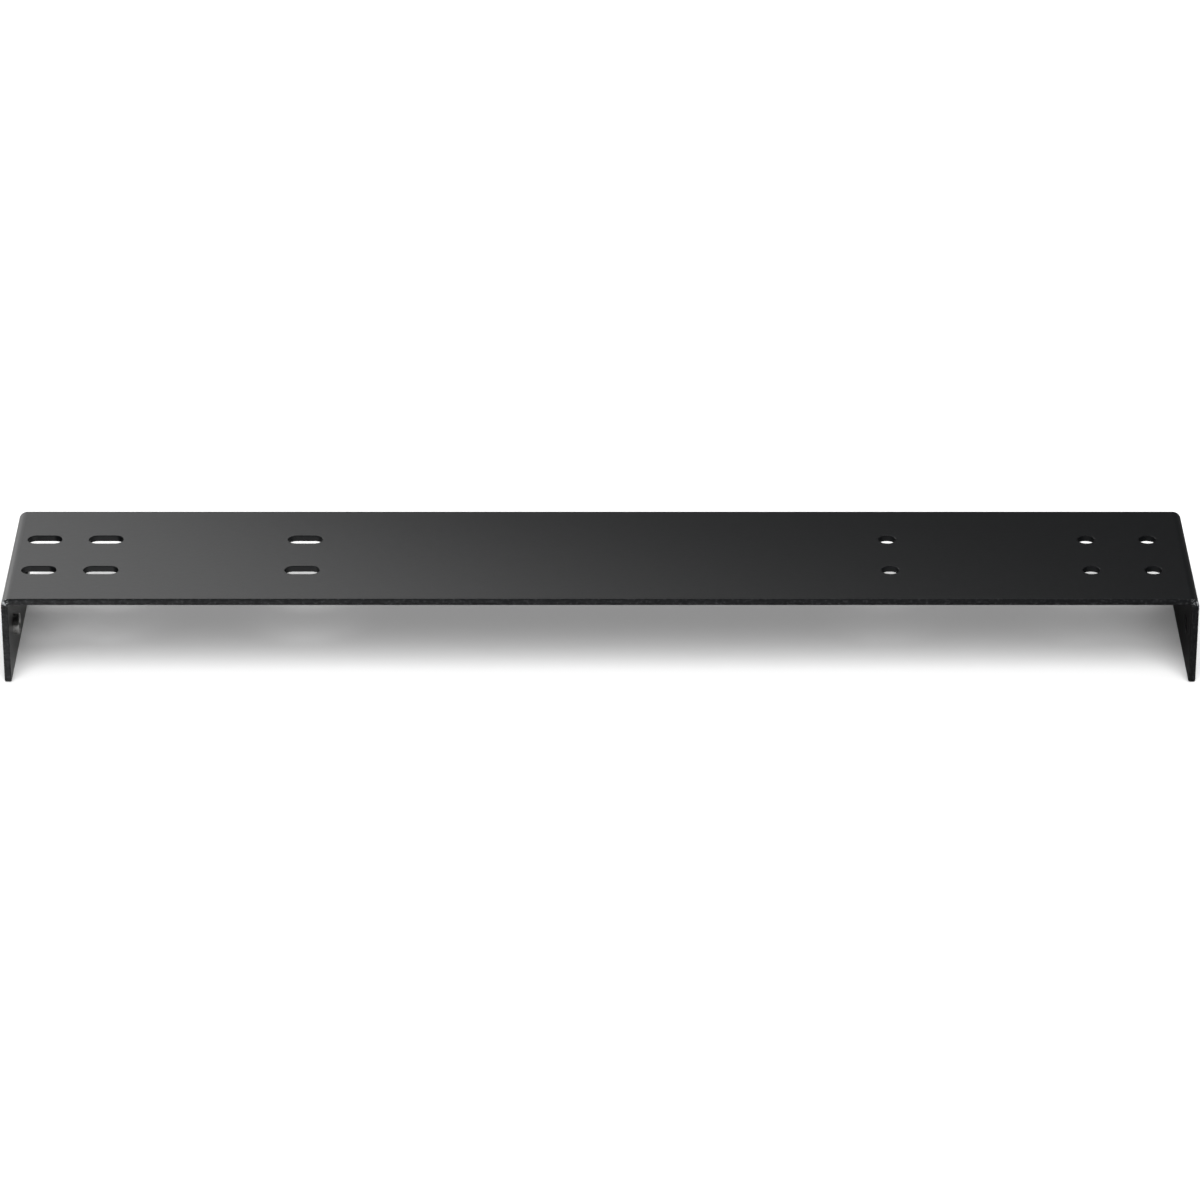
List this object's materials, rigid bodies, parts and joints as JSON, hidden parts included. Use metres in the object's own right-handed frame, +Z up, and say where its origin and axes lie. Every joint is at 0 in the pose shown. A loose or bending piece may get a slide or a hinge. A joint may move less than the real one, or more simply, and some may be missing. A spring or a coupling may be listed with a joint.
{
  "type": "rack mount ear bracket",
  "caption": "Long flat folded-steel bracket with a short flange turned down at each end, slots at one end, round holes at the other, and clinch nuts in one flange.",
  "frame": {"origin": "on the ground under the middle of the plate, at the flanges' bottom edges", "axes": "+X along the bracket towards the end with round holes, +Y from front to back, +Z up through the plate"},
  "size_m": [0.4868, 0.0826, 0.0381],
  "materials": {
    "powder_coat": "fine-texture satin black powder coat",
    "plated_steel": "bright zinc plate, turned"
  },
  "bodies": {
    "root": {"bracket": "powder_coat", "clinch_nuts": "plated_steel"}
  },
  "joints": []
}
